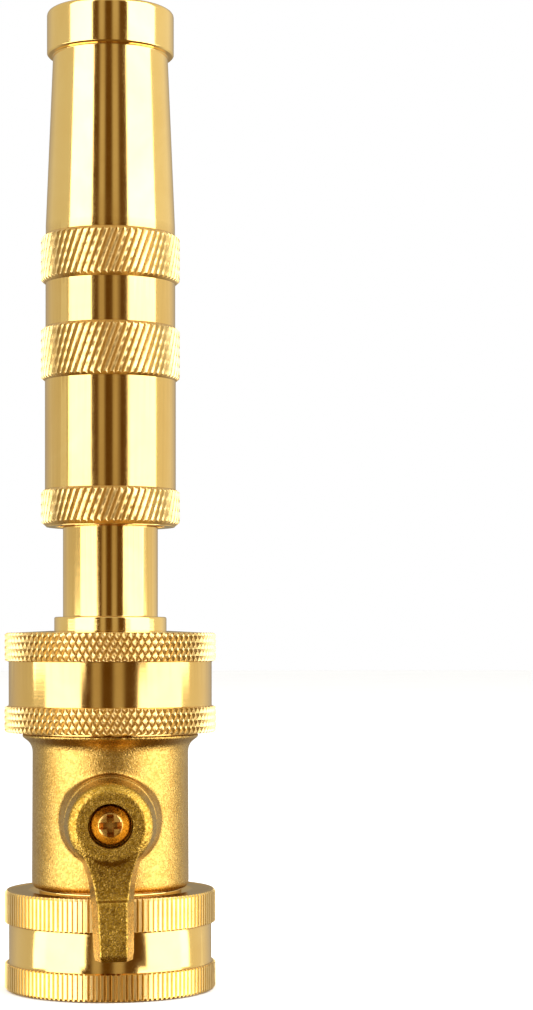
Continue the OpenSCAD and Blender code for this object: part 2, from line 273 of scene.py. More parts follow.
def fluteCell(width, height, depth, crest, flank):
    # one upright tooth: its crest, down a flank, along the root and up the next flank
    deselectAll()
    bpy.ops.mesh.primitive_plane_add(size=1 * mm, rotation=(math.pi / 2, 0, 0))
    cell = settle(nameNew("cell"))
    bpy.ops.object.mode_set(mode="EDIT")
    bpy.ops.mesh.select_all(action="SELECT")
    bpy.ops.transform.resize(value=(crest * width, 1, height), center_override=(0, 0, 0))
    bpy.ops.transform.translate(value=(0, -depth * mm, height / 2 * mm))
    right = crest * width / 2 * mm
    selectEdges(cell, lambda a, b: a.x > right * 0.99 and b.x > right * 0.99)
    root = 1 - crest - 2 * flank
    for across, inward in ((flank, depth), (root, 0), (flank, -depth)):
        bpy.ops.mesh.extrude_region_move(
            TRANSFORM_OT_translate={"value": (across * width * mm, inward * mm, 0)})
    bpy.ops.object.mode_set(mode="OBJECT")
    return cell


def grippedBand(name, band):
    # a closed ring of real teeth between two heights, with ends that slope to the face radius given
    root = band["radius"] - band["depth"]
    pitch = tau * root / band["starts"]
    low, high, edge = band["low"], band["high"], band["edge"]
    if band["kind"] == "diamond":
        cell = diamondCell(pitch, band["rise"], band["depth"], band["flat"], band["shallow"])
        rows = math.ceil((high - low) / band["rise"]) + 2  # one row to spare at each end
        wrapRound(cell, band["starts"], pitch, rows, band["rise"], low - band["rise"] * 0.5)
    else:
        cell = fluteCell(pitch, high - low + 2, band["depth"], band["flat"], band["flank"])
        wrapRound(cell, band["starts"], pitch, 1, 0, low - 1)
    cleanNormals(cell)
    bridgeInside(cell, (band["inner"] - 0.5) / root)
    over = band["radius"] + 0.03  # clear of the crests, so only the ends are trimmed
    blank = turnOnLathe("blank", [
        (band["inner"], low + band["tuckLow"]), (band["lowFace"], low), (over, low + edge, 0.1),
        (over, high - edge, 0.1), (band["highFace"], high),
        (band["inner"], high - band["tuckHigh"])],
        sides=240, steps=2)
    cut(cell, blank, "INTERSECT")
    cleanNormals(cell, fineGap)
    cell.name = name
    return cell


def threadRidge(name, crest, root, crestWidth, rootWidth, pitch, low, turns, facets=72):
    # one ridge of a screw thread: its section is drawn flat, screwed up the axis, and capped
    deselectAll()
    bpy.ops.mesh.primitive_plane_add(size=1 * mm, rotation=(math.pi / 2, 0, 0))
    ridge = settle(nameNew(name))
    bpy.ops.object.mode_set(mode="EDIT")
    for side, radius, width in ((-1, root, rootWidth), (1, crest, crestWidth)):
        for end in (-1, 1):
            selectVerts(ridge, lambda co: abs(co.x - side * 0.5 * mm) < 0.01 * mm
                        and abs(co.z - end * 0.5 * mm) < 0.01 * mm)
            bpy.ops.transform.translate(value=(
                (radius - side * 0.5) * mm, 0, (low + end * (width - 1) / 2) * mm))
    bpy.ops.object.mode_set(mode="OBJECT")
    applyModifier(ridge, "SCREW", axis="Z", angle=tau * turns, screw_offset=pitch * turns * mm,
                  steps=round(facets * turns), render_steps=round(facets * turns),
                  use_smooth_shade=False)
    bpy.ops.object.mode_set(mode="EDIT")
    bpy.ops.mesh.select_mode(type="EDGE")
    bpy.ops.mesh.select_all(action="DESELECT")
    bpy.ops.mesh.select_non_manifold(extend=False)
    bpy.ops.mesh.fill_holes(sides=0)
    bpy.ops.object.mode_set(mode="OBJECT")
    cleanNormals(ridge)
    return smoothBy(ridge, 30)


def unite(piece, *others):
    for other in others:
        cut(piece, other, "UNION")
    return cleanNormals(piece, fineGap)


def trimRidge(ridge, corners):
    # the ridge keeps only what lies inside this turned outline, so its ends run out cleanly
    return cut(ridge, turnOnLathe("trim", corners, sides=144, steps=2), "INTERSECT")


def paint(piece, material, test=None):
    # one material over the whole piece, or over the faces that the test picks
    if material.name not in [m.name for m in piece.data.materials]:
        piece.data.materials.append(material)
    index = [m.name for m in piece.data.materials].index(material.name)
    for face in piece.data.polygons:
        if test is None or test(face.center / mm, face.normal):
            face.material_index = index


# the nozzle's twist sleeve

sleeve = {
    "outline": [
        (8.35, 69.85, 0.2), (9.8, 69.85, 0.1), (9.93, 75.2), (9.93, 92.2), (9.84, 99.9),
        (9.84, 107), (9.8, 113.6), (9.8, 115.5, 0.3), (8.7, 141.3, 0.12), (9.4, 141.4, 0.12),
        (9.62, 141.65, 0.12), (9.62, 148, 0.65), (6.3, 148, 0.35), (4.2, 143.2, 0.8),
        (4.2, 141.1, 0.8), (7.7, 128.1, 1), (7.7, 92.1), (8.4, 91.5), (8.4, 72.5), (9, 72.5),
        (9, 70.7), (8.35, 70.7)],
    "teeth": {
        "kind": "diamond", "radius": 10.52, "depth": 0.4, "starts": 62, "rise": 2.9,
        "flat": 0.3, "shallow": 0.84, "edge": 0.72, "inner": 9.3,
        "lowFace": 9.7, "highFace": 9.7, "tuckLow": 0.3, "tuckHigh": 0.3},
    "bands": [(69.87, 75.75), (91.8, 100.25), (106.6, 114.2)],
    "toothed": 9.98,  # the radius outside which the bands have the grip finish
    "thread": {"crest": 7.7, "root": 8.5, "crestWidth": 1.56, "rootWidth": 1.99, "pitch": 3,
               "low": 69.2, "turns": 7.5},
    "threadRoom": [(7.4, 72.6), (8.6, 72.6), (8.6, 91), (7.7, 91), (7.4, 91)],
}

twistSleeve = turnOnLathe("nozzleSleeve", sleeve["outline"], sides=192)
for low, high in sleeve["bands"]:
    unite(twistSleeve, grippedBand("band", dict(sleeve["teeth"], low=low, high=high)))
sleeveThread = threadRidge("ridge", **sleeve["thread"])
unite(twistSleeve, trimRidge(sleeveThread, sleeve["threadRoom"]))
smoothBy(twistSleeve, 24)
print("twist sleeve made")


# the stem that the sleeve slides on, with its collar, coarse thread and shut-off nose

stem = {
    "outline": [
        (5.1, 51.3, 0.2), (7.6, 51.3, 0.3), (7.6, 53.83), (8.35, 53.83, 0.1), (8.52, 54.1),
        (8.52, 56.2, 0.25), (7.2, 56.2, 0.12), (7.2, 73.2, 0.1), (7.15, 73.4), (7.15, 92),
        (7.6, 92.5, 0.2), (7.6, 94.05, 0.1), (6.05, 94.05, 0.1), (6.05, 95.95, 0.1),
        (7.6, 95.95, 0.1), (7.6, 97.5, 0.4), (4.4, 101.1, 0.8), (4.4, 127.3, 0.1),
        (3.05, 127.3, 0.1), (3.05, 129.3, 0.1), (4.3, 129.3, 0.1), (4.3, 130.1, 0.3),
        (1.5, 135.7, 0.4), (1.1, 136, 0.1), (0, 136), (0, 123.9), (0.8, 123.9),
        (2.8, 122.7, 0.3), (2.8, 98.5, 0.5), (4.5, 96.9, 0.5), (4.5, 51.9)],
    "thread": {"crest": 8.15, "root": 7, "crestWidth": 0.9, "rootWidth": 1.41, "pitch": 3,
               "low": 70.7, "turns": 4},
    "threadRoom": [(6.9, 73), (7.5, 73), (8.15, 73.8), (8.15, 79.8), (7.4, 80.5), (6.9, 80.5)],
    "holes": {"radius": 1.7, "height": 120.3},
}

nozzleStem = turnOnLathe("nozzleStem", stem["outline"], sides=192)
unite(nozzleStem, trimRidge(threadRidge("ridge", **stem["thread"]), stem["threadRoom"]))
for turn in (0, math.pi / 2):
    deselectAll()
    bpy.ops.mesh.primitive_cylinder_add(
        vertices=64, radius=stem["holes"]["radius"] * mm, depth=14 * mm,
        location=(0, 0, stem["holes"]["height"] * mm), rotation=(math.pi / 2, 0, turn))
    cut(nozzleStem, settle(bpy.context.object))
cleanNormals(nozzleStem, fineGap)
smoothBy(nozzleStem, 30)
print("nozzle stem made")


# the big knurled coupling under it

coupling = {
    "outline": [
        (13.75, 38.85, 0.15), (15.45, 38.85), (15.45, 42.6), (15.4, 43), (15.4, 53.77),
        (9.1, 54.08, 0.2), (8.9, 53.8), (7.63, 53.8), (7.63, 51.3), (13.9, 51.3, 0.3),
        (13.9, 48.3), (13.65, 48.1), (13.65, 39.1)],
    "teeth": {
        "kind": "diamond", "starts": 94, "rise": 2, "depth": 0.38, "flat": 0.28, "shallow": 0.1,
        "inner": 15},
    "lowBand": {"radius": 16.02, "low": 38.8, "high": 42.85, "edge": 0.32,
                "lowFace": 15.75, "highFace": 15.25, "tuckLow": 0, "tuckHigh": 0.3},
    "highBand": {"radius": 16, "low": 49.35, "high": 53.8, "edge": 0.32,
                 "lowFace": 15.25, "highFace": 15.65, "tuckLow": 0.3, "tuckHigh": 0},
    "thread": {"crest": 12.3, "root": 13.8, "crestWidth": 0.29, "rootWidth": 2.02,
               "pitch": 2.2087, "low": 37.291, "turns": 5.5},
    "threadRoom": [(12, 39.9), (12.3, 39.9), (13.6, 39.2), (14, 39.2), (14, 48.2), (13.4, 48.2),
                   (12.3, 47.6), (12, 47.6)],
    "toothed": 15.42,
}

nozzleCoupling = turnOnLathe("nozzleCoupling", coupling["outline"], sides=240)
for key in ("lowBand", "highBand"):
    unite(nozzleCoupling, grippedBand("band", dict(coupling["teeth"], **coupling[key])))
couplingThread = threadRidge("ridge", **coupling["thread"])
unite(nozzleCoupling, trimRidge(couplingThread, coupling["threadRoom"]))
smoothBy(nozzleCoupling, 24)
print("coupling made")


# the swivelling inlet nut

nut = {
    "outline": [
        (13.65, 0.03, 0.1), (15.45, 0.03), (15.45, 4), (15.35, 4.4), (15.35, 9.5), (15.45, 9.9),
        (15.45, 14.87), (12.45, 14.87, 0.3), (11, 13.9, 0.15), (11, 13, 0.1), (13.3, 13, 0.3),
        (13.3, 8.6), (13.65, 8.4), (13.65, 0.3)],
    "teeth": {"kind": "flute", "starts": 126, "radius": 15.97, "depth": 0.35, "flat": 0.42,
              "flank": 0.2, "inner": 15},
    "lowBand": {"low": 0, "high": 4.15, "edge": 0.35,
                "lowFace": 15.75, "highFace": 15.2, "tuckLow": 0, "tuckHigh": 0.3},
    "highBand": {"low": 9.75, "high": 14.9, "edge": 0.4,
                 "lowFace": 15.2, "highFace": 15.7, "tuckLow": 0.3, "tuckHigh": 0},
    "thread": {"crest": 12.3, "root": 13.8, "crestWidth": 0.29, "rootWidth": 2.02,
               "pitch": 2.2087, "low": -2.2, "turns": 5.5},
    "threadRoom": [(12, 1.1), (12.3, 1.1), (13.6, 0.35), (14, 0.35), (14, 8.5), (13.4, 8.5),
                   (12.3, 7.9), (12, 7.9)],
    "toothed": 15.7,
}

inletNut = turnOnLathe("inletNut", nut["outline"], sides=240)
for key in ("lowBand", "highBand"):
    unite(inletNut, grippedBand("band", dict(nut["teeth"], **nut[key])))
unite(inletNut, trimRidge(threadRidge("ridge", **nut["thread"]), nut["threadRoom"]))
smoothBy(inletNut, 24)
print("inlet nut made")


# the cast valve body with its machined neck and hose thread

valve = {
    "pivot": 26,
    "lean": 1.5,
    "cast": [
        (0, 15.2), (11.5, 15.2, 0.4), (11.9, 15.9, 0.4), (11.8, 36.2, 0.9), (12.2, 37.2, 0.6),
        (13.4, 38.1, 0.4), (13.4, 38.5, 0.15), (0, 38.5)],
    "boss": [
        (0, 2), (7.5, 2), (7.5, 10.2, 0.6), (6.9, 11.9, 0.8), (6.9, 14.7, 0.5), (0, 14.7)],
    "neck": [
        (6.5, 36.5), (11.8, 36.5), (11.8, 39.6, 0.2), (12, 39.9), (12, 48, 0.2), (11.5, 48.4, 0.2),
        (6.5, 48.4)],
    "grain": 0.26,
    "smoothing": 6,
    "machinedFrom": 38.45,  # above this the body is turned, as is the bore below it
    "machinedBore": {"within": 10.3, "under": 38, "behind": -10.35},
    "thread": {"crest": 13.4, "root": 11.9, "crestWidth": 0.35, "rootWidth": 2.08,
               "pitch": 2.2087, "low": 38.396, "turns": 4.9},
    "threadRoom": [(11, 39.7), (12.1, 39.7), (13.4, 40.5), (13.4, 47.5), (12.5, 48.3), (11, 48.3)],
    "waterway": [
        (0, 14), (10.24, 14), (10.24, 20.5, 0.2), (9.29, 20.5), (9.29, 33.6, 0.4), (6, 33.6, 0.3),
        (6, 36.1, 0.3), (8, 39.2, 0.4), (8, 49), (0, 49)],
    "stemHole": [(0, 0), (4.5, 0), (4.5, 10.4, 0.1), (3.56, 10.4, 0.1), (3.56, 15.7), (0, 15.7)],
}
pivot = (0, 0, valve["pivot"] * mm)


def faceTheLever(piece, lean=valve["lean"]):
    # a shape turned round Z and drawn outwards from zero is laid on the lever's axis
    piece.rotation_euler = (math.pi / 2, math.radians(-lean), 0)
    piece.location = pivot
    return settle(piece)


def castSkin(piece, grain, passes):
    # blends the joins and edges as a sand casting has them
    applyModifier(piece, "REMESH", mode="VOXEL", voxel_size=grain * mm)
    return applyModifier(piece, "SMOOTH", factor=0.5, iterations=passes)


valveBody = turnOnLathe("valveBody", valve["cast"], sides=160)
joinInto(valveBody, faceTheLever(turnOnLathe("boss", valve["boss"], sides=96), 0))
castSkin(valveBody, valve["grain"], valve["smoothing"])
unite(valveBody, turnOnLathe("neck", valve["neck"], sides=160))
unite(valveBody, trimRidge(threadRidge("ridge", **valve["thread"]), valve["threadRoom"]))
cut(valveBody, turnOnLathe("waterway", valve["waterway"], sides=128))
cut(valveBody, faceTheLever(turnOnLathe("stemHole", valve["stemHole"], sides=64), 0))
cleanNormals(valveBody, fineGap)
smoothBy(valveBody, 30)
print("valve body made")


# the cast lever: a domed hub and a flared arm with a raised pad

lever = {
    "hub": [
        (0, 15), (6.4, 15, 0.3), (6.7, 15.5, 0.3), (6.7, 18.2, 1.2), (6.1, 20.7, 1.3),
        (5, 21.5, 0.8), (0, 21.5)],
    # drop below the pivot, back and front reach, back and front width
    "arm": [
        (-1.5, 15.6, 21.1, 10, 8.6), (2.8, 15.6, 21.2, 10, 8.6), (4.3, 15.6, 21.1, 9.7, 7.9),
        (5.2, 15.7, 21, 8.9, 7.1), (6.2, 15.9, 20.8, 8.1, 6.4), (7.4, 16.3, 20.6, 7.35, 5.7),
        (8.6, 16.8, 20.5, 6.85, 5.2), (9.8, 17.4, 20.45, 6.55, 4.8), (10.65, 17.9, 20.5, 6.45, 4.6),
        (11.05, 18.1, 21.2, 6.4, 4.2), (14.6, 18.4, 21.5, 6.2, 4.1), (18.6, 18.6, 21.8, 5.85, 3.9),
        (19.5, 18.9, 21.4, 5.5, 3.6)],
    "grain": 0.14,
    "smoothing": 5,
    "recess": [(0, 18.3), (3.25, 18.3, 0.15), (3.25, 23), (0, 23)],
    "screwHole": [(0, 14), (1.9, 14), (1.9, 18.6), (0, 18.6)],
    "square": 5.1,
    "squareEnd": 17.3,
}


def squarePeg(name, width, near, far):
    deselectAll()
    bpy.ops.mesh.primitive_cube_add(size=1 * mm, scale=(width, width, far - near),
                                    location=(0, 0, (near + far) / 2 * mm))
    return settle(nameNew(name))


def slopedArm(name, rows):
    # four-cornered sections one below another, bridged into a bar and capped
    sections = []
    for drop, back, front, backWidth, frontWidth in rows:
        deselectAll()
        bpy.ops.mesh.primitive_plane_add(size=1 * mm)
        sections.append(nameNew(name))
        bpy.ops.object.mode_set(mode="EDIT")
        for side, reach, width in ((1, back, backWidth), (-1, front, frontWidth)):
            selectVerts(sections[-1], lambda co: co.y * side > 0 and abs(co.z) < 0.001 * mm)
            bpy.ops.transform.resize(value=(width, 1, 1), center_override=(0, 0, 0))
            bpy.ops.transform.translate(value=(0, (-reach - side / 2) * mm, -drop * mm))
        bpy.ops.mesh.select_all(action="SELECT")
        bpy.ops.mesh.delete(type="ONLY_FACE")
        bpy.ops.object.mode_set(mode="OBJECT")
    arm = joinInto(*sections)
    bpy.ops.object.mode_set(mode="EDIT")
    bpy.ops.mesh.select_mode(type="EDGE")
    bpy.ops.mesh.select_all(action="SELECT")
    bpy.ops.mesh.bridge_edge_loops()
    bpy.ops.mesh.select_all(action="SELECT")
    bpy.ops.mesh.fill_holes(sides=4)
    bpy.ops.object.mode_set(mode="OBJECT")
    return cleanNormals(arm)


def leanWithLever(piece):
    piece.rotation_euler = (0, math.radians(-valve["lean"]), 0)
    piece.location = pivot
    return settle(piece)


valveLever = faceTheLever(turnOnLathe("lever", lever["hub"], sides=128))
joinInto(valveLever, leanWithLever(slopedArm("arm", lever["arm"])))
castSkin(valveLever, lever["grain"], lever["smoothing"])
cut(valveLever, faceTheLever(squarePeg("squareHole", lever["square"], 14, lever["squareEnd"])))
for key in ("recess", "screwHole"):
    cut(valveLever, faceTheLever(turnOnLathe(key, lever[key], sides=96)))
cleanNormals(valveLever, fineGap)
smoothBy(valveLever, 35)
print("lever made")


# the screw that holds the lever, with its cross recess

screw = {
    "outline": [
        (0, 12.6), (1.5, 12.6, 0.2), (1.5, 18.32), (2.9, 18.32, 0.1), (3, 18.8, 0.2),
        (2.8, 19.4, 0.8), (1.7, 20.2, 1.2), (0, 20.35)],
    "wing": {"length": 4.1, "width": 1.2, "foot": 0.5, "near": 19.1, "far": 20.8},
    "turn": 0,
}


def taperedWing(name, wing, turn):
    # one bar of the cross, narrower and shorter at its foot
    deselectAll()
    bpy.ops.mesh.primitive_cube_add(size=1 * mm)
    bar = nameNew(name)
    bpy.ops.object.mode_set(mode="EDIT")
    selectVerts(bar, lambda co: co.z < 0)
    bpy.ops.transform.resize(value=(wing["foot"], wing["foot"], 1), center_override=(0, 0, 0))
    bpy.ops.object.mode_set(mode="OBJECT")
    bar.scale = (wing["length"], wing["width"], wing["far"] - wing["near"])
    bar.location = (0, 0, (wing["near"] + wing["far"]) / 2 * mm)
    bar.rotation_euler = (0, 0, math.radians(turn))
    return settle(bar)


leverScrew = turnOnLathe("leverScrew", screw["outline"], sides=96)
for quarter in (0, 90):
    cut(leverScrew, taperedWing("wing", screw["wing"], screw["turn"] + quarter))
faceTheLever(cleanNormals(leverScrew, fineGap))
smoothBy(leverScrew, 30)
print("lever screw made")


# the ball, its seats, and the stem that turns it

ball = {"radius": 8.5, "bore": 5.5, "slotWidth": 3.2, "slotDepth": 2.3, "slotLength": 20,
        "steps": 48}
stemOfBall = {
    "outline": [
        (0, 8.75), (4.3, 8.75, 0.1), (4.3, 10.2, 0.1), (3.5, 10.2), (3.5, 11.1, 0.08),
        (2.1, 11.1), (2.1, 12.5), (3.5, 12.5, 0.08), (3.5, 12.9, 0.08), (2.1, 12.9),
        (2.1, 14.3), (3.5, 14.3, 0.08), (3.5, 14.95, 0.1), (0, 14.95)],
    "square": 5, "squareEnd": 17.25, "tang": (6, 3.08, 6.4, 9),
    "screwHole": [(0, 12.2), (1.55, 12.2), (1.55, 18), (0, 18)],
}
seat = {"outer": 9.2, "inner": 5.7, "near": 4.6, "far": 7.58, "ball": 8.56, "steps": 10}


def arcPoints(radius, first, last, steps, middle=(0, 0)):
    # points on a circle between two angles in degrees
    angles = [math.radians(first + (last - first) * k / steps) for k in range(steps + 1)]
    return [(middle[0] + radius * math.cos(a), middle[1] + radius * math.sin(a)) for a in angles]


reach = math.degrees(math.acos(ball["bore"] / ball["radius"]))
valveBall = turnOnLathe("valveBall", arcPoints(ball["radius"], -reach, reach, ball["steps"]),
                        sides=128)
deselectAll()
bpy.ops.mesh.primitive_cube_add(
    size=1 * mm, scale=(ball["slotLength"], 2 * ball["slotDepth"], ball["slotWidth"]),
    location=(0, -ball["radius"] * mm, 0))
cut(valveBall, settle(bpy.context.object))
leanWithLever(cleanNormals(valveBall, fineGap))
smoothBy(valveBall, 30)

valveStem = turnOnLathe("valveStem", stemOfBall["outline"], sides=96)
unite(valveStem, squarePeg("square", stemOfBall["square"], 14.5, stemOfBall["squareEnd"]))
length, width, near, far = stemOfBall["tang"]
tang = squarePeg("tang", 1, near, far)
tang.scale = (length, width, 1)
unite(valveStem, settle(tang))
cut(valveStem, turnOnLathe("hole", stemOfBall["screwHole"], sides=48))
faceTheLever(cleanNormals(valveStem, fineGap))
smoothBy(valveStem, 30)

seats = []
first = math.degrees(math.asin(seat["near"] / seat["ball"]))
last = math.degrees(math.acos(seat["inner"] / seat["ball"]))
for name, side in (("seatUpper", 1), ("seatLower", -1)):
    section = [(seat["inner"], seat["far"], 0.1), (seat["outer"], seat["far"], 0.2),
               (seat["outer"], seat["near"], 0.1)]
    section += arcPoints(seat["ball"], first, last, seat["steps"])
    placed = [(corner[0], valve["pivot"] + side * corner[1], *corner[2:]) for corner in section]
    seats.append(smoothBy(turnOnLathe(name, placed, sides=128), 30))
print("ball, stem and seats made")


# the tailpiece that the inlet nut swivels on

tail = {
    "outline": [
        (6, 11.8), (6.5, 11.3, 0.1), (12.1, 11.3, 0.2), (12.1, 12.9, 0.2), (10.8, 12.9, 0.1),
        (10.8, 15.1, 0.15), (10.2, 15.1), (10.2, 20.1), (9.9, 20.4), (9.25, 20.4, 0.1),
        (9.25, 18.4), (6, 18.4, 0.1)],
}
tailpiece = smoothBy(turnOnLathe("tailpiece", tail["outline"], sides=160), 30)


# the washers and rings, all of black rubber

rubber = {
    "washers": {
        "inletWasher": [(7.95, 8.65, 0.25), (12.8, 8.65, 0.35), (12.8, 11.2, 0.35),
                        (7.95, 11.2, 0.25)],
        "couplingWasher": [(7.95, 48.45, 0.25), (12.8, 48.45, 0.35), (12.8, 51.2, 0.35),
                           (7.95, 51.2, 0.25)],
        "wiperRing": [(7.25, 71.3, 0.1), (7.82, 70.75, 0.15), (8.95, 70.75, 0.15),
                      (8.95, 72.45, 0.15), (7.82, 72.45, 0.15), (7.25, 71.9, 0.1)]},
    # middle radius, section radius and height, or reach along the lever's axis
    "rings": {"sealRing": (6.85, 0.79, 95), "shutoffRing": (4.01, 0.95, 128.3),
              "stemRingInner": (2.82, 0.68, 11.8), "stemRingOuter": (2.82, 0.68, 13.6)},
}
rubberPieces = {}
for name, corners in rubber["washers"].items():
    rubberPieces[name] = smoothBy(turnOnLathe(name, corners, sides=128), 30)
for name, (middle, thickness, height) in rubber["rings"].items():
    section = arcPoints(thickness, 0, 345, 23, (middle, height))
    rubberPieces[name] = smoothBy(turnOnLathe(name, section, sides=96), 60)
for name in ("stemRingInner", "stemRingOuter"):
    faceTheLever(rubberPieces[name])
print("tailpiece, washers and rings made")


# shader node groups that several finishes share

def addNode(tree, kind, inputs=None, **settings):
    node = tree.nodes.new(kind)
    for key, value in settings.items():
        setattr(node, key, value)
    for key, value in (inputs or {}).items():
        if isinstance(value, bpy.types.NodeSocket):
            tree.links.new(value, node.inputs[key])
        else:
            node.inputs[key].default_value = value
    return node


def maths(tree, operation, first, second=0.0, third=0.0, clamp=False):
    node = addNode(tree, "ShaderNodeMath", {0: first, 1: second, 2: third},
                   operation=operation, use_clamp=clamp)
    return node.outputs[0]


def newGroup(name, inputs, outputs):
    tree = bpy.data.node_groups.new(name, "ShaderNodeTree")
    for label, value in inputs.items():
        socket = tree.interface.new_socket(name=label, in_out="INPUT",
                                           socket_type="NodeSocketFloat")
        socket.default_value = value
    for label in outputs:
        tree.interface.new_socket(name=label, in_out="OUTPUT", socket_type="NodeSocketFloat")
    entry = tree.nodes.new("NodeGroupInput")
    ending = tree.nodes.new("NodeGroupOutput")
    return tree, entry, ending


def useGroup(tree, group, **values):
    node = tree.nodes.new("ShaderNodeGroup")
    node.node_tree = group
    for key, value in values.items():
        node.inputs[key].default_value = value
    return node


def ramp(tree, factor, stops, interpolation="LINEAR"):
    node = addNode(tree, "ShaderNodeValToRGB", {0: factor})
    node.color_ramp.interpolation = interpolation
    elements = node.color_ramp.elements
    while len(elements) < len(stops):
        elements.new(0.5)
    for element, (place, value) in zip(elements, stops):
        element.position = place
        colour = value if isinstance(value, tuple) else (value, value, value)
        element.color = (*colour[:3], 1)
    return node.outputs[0]


def blendColours(tree, factor, first, second):
    node = addNode(tree, "ShaderNodeMix", {0: factor, 6: first, 7: second}, data_type="RGBA")
    return node.outputs[2]


def makeLatheMarks():
    # fine rings left by the tool, running round the Z axis, with a slower swell under them
    tree, entry, ending = newGroup("latheMarks", {"pitch": 0.08, "swell": 1.6},
                                   ["fine", "height"])
    place = addNode(tree, "ShaderNodeTexCoord").outputs["Object"]
    parts = addNode(tree, "ShaderNodeSeparateXYZ", {0: place}).outputs
    squares = maths(tree, "ADD", maths(tree, "MULTIPLY", parts[0], parts[0]),
                    maths(tree, "MULTIPLY", parts[1], parts[1]))
    radius = maths(tree, "SQRT", squares)
    along = maths(tree, "ADD", parts[2], maths(tree, "MULTIPLY", radius, 0.6))
    results = []
    for label, across, detail in (("pitch", 45.0, 3.0), ("swell", 70.0, 2.0)):
        density = maths(tree, "DIVIDE", 1000.0, entry.outputs[label])
        spot = addNode(tree, "ShaderNodeCombineXYZ", {
            0: maths(tree, "MULTIPLY", parts[0], across),
            1: maths(tree, "MULTIPLY", parts[1], across),
            2: maths(tree, "MULTIPLY", along, density)}).outputs[0]
        noise = addNode(tree, "ShaderNodeTexNoise", {"Vector": spot, "Scale": 1.0, "Detail": detail,
                                                     "Roughness": 0.6})
        results.append(noise.outputs[0])
    tree.links.new(results[0], ending.inputs["fine"])
    both = maths(tree, "MULTIPLY_ADD", results[1], 0.6, results[0])
    tree.links.new(both, ending.inputs["height"])
    return tree


def makeCastGrain():
    # the blasted skin of a sand casting: packed grains with pits between them
    tree, entry, ending = newGroup("castGrain", {"grain": 0.3}, ["height", "glint", "pits"])
    place = addNode(tree, "ShaderNodeTexCoord").outputs["Object"]
    density = maths(tree, "DIVIDE", 1000.0, entry.outputs["grain"])
    grains = addNode(tree, "ShaderNodeTexNoise", {"Vector": place, "Scale": density, "Detail": 3.0,
                                                  "Roughness": 0.65}).outputs[0]
    crystals = addNode(tree, "ShaderNodeTexVoronoi", {"Vector": place, "Scale": density})
    pits = addNode(tree, "ShaderNodeTexNoise", {
        "Vector": place, "Scale": maths(tree, "MULTIPLY", density, 0.28), "Detail": 4.0}).outputs[0]
    height = maths(tree, "MULTIPLY_ADD", crystals.outputs["Distance"], -0.5, grains)
    tree.links.new(maths(tree, "MULTIPLY_ADD", pits, 0.3, height), ending.inputs["height"])
    single = addNode(tree, "ShaderNodeSeparateColor", {0: crystals.outputs["Color"]}).outputs[0]
    tree.links.new(single, ending.inputs["glint"])
    tree.links.new(ramp(tree, pits, [(0.3, 1.0), (0.46, 0.0)]), ending.inputs["pits"])
    return tree


def makeTarnish():
    # slow patches where the brass has dulled with handling
    tree, entry, ending = newGroup("tarnish", {"size": 9.0}, ["patches"])
    place = addNode(tree, "ShaderNodeTexCoord").outputs["Object"]
    density = maths(tree, "DIVIDE", 1000.0, entry.outputs["size"])
    noise = addNode(tree, "ShaderNodeTexNoise", {"Vector": place, "Scale": density, "Detail": 4.0,
                                                 "Roughness": 0.6, "Distortion": 0.6}).outputs[0]
    tree.links.new(ramp(tree, noise, [(0.35, 0.0), (0.68, 1.0)]), ending.inputs["patches"])
    return tree


def makeEdgeWearAndHollowShade():
    # picks out the crests of the surface itself, for rubbed edges, and its hollows, for painted
    # shade
    tree, entry, ending = newGroup("edgeWearAndHollowShade", {"reach": 0.05}, ["edges", "hollows"])
    sharp = addNode(tree, "ShaderNodeNewGeometry").outputs["Pointiness"]
    off = maths(tree, "SUBTRACT", sharp, 0.5)
    edges = maths(tree, "DIVIDE", off, entry.outputs["reach"], clamp=True)
    hollows = maths(tree, "DIVIDE", maths(tree, "MULTIPLY", off, -1.0), entry.outputs["reach"],
                    clamp=True)
    tree.links.new(edges, ending.inputs["edges"])
    tree.links.new(hollows, ending.inputs["hollows"])
    return tree


latheMarks, castGrain = makeLatheMarks(), makeCastGrain()
tarnish, edgeWearAndHollowShade = makeTarnish(), makeEdgeWearAndHollowShade()


# the finishes

def newFinish(name, **constants):
    material = bpy.data.materials.new(name)
    material.use_nodes = True
    surface = material.node_tree.nodes["Principled BSDF"]
    for key, value in constants.items():
        surface.inputs[key.replace("_", " ")].default_value = value
    return material, material.node_tree, surface


def makeTurnedMetal(name, look, hollowShadeReach=0.06, dulling=0.04):
    material, tree, surface = newFinish(name, Metallic=1.0)
    marks = useGroup(tree, latheMarks, pitch=look["pitch"]).outputs
    dull = useGroup(tree, tarnish, size=look["patchSize"]).outputs["patches"]
    wearAndShade = useGroup(tree, edgeWearAndHollowShade, reach=hollowShadeReach).outputs
    colour = blendColours(tree, dull, look["bright"], look["dull"])
    # painted shade: the hollows of the surface are darkened towards the deep colour
    hollowShade = maths(tree, "MULTIPLY", wearAndShade["hollows"], look["hollowShadeDepth"])
    colour = blendColours(tree, hollowShade, colour, look["deep"])
    tree.links.new(colour, surface.inputs["Base Color"])
    rough = maths(tree, "MULTIPLY_ADD", marks["fine"], look["roughSpread"], look["rough"])
    tree.links.new(maths(tree, "MULTIPLY_ADD", dull, dulling, rough), surface.inputs["Roughness"])
    bump = addNode(tree, "ShaderNodeBump", {"Height": marks["height"], "Strength": look["bump"],
                                            "Distance": 0.02 * mm})
    tree.links.new(bump.outputs[0], surface.inputs["Normal"])
    return material


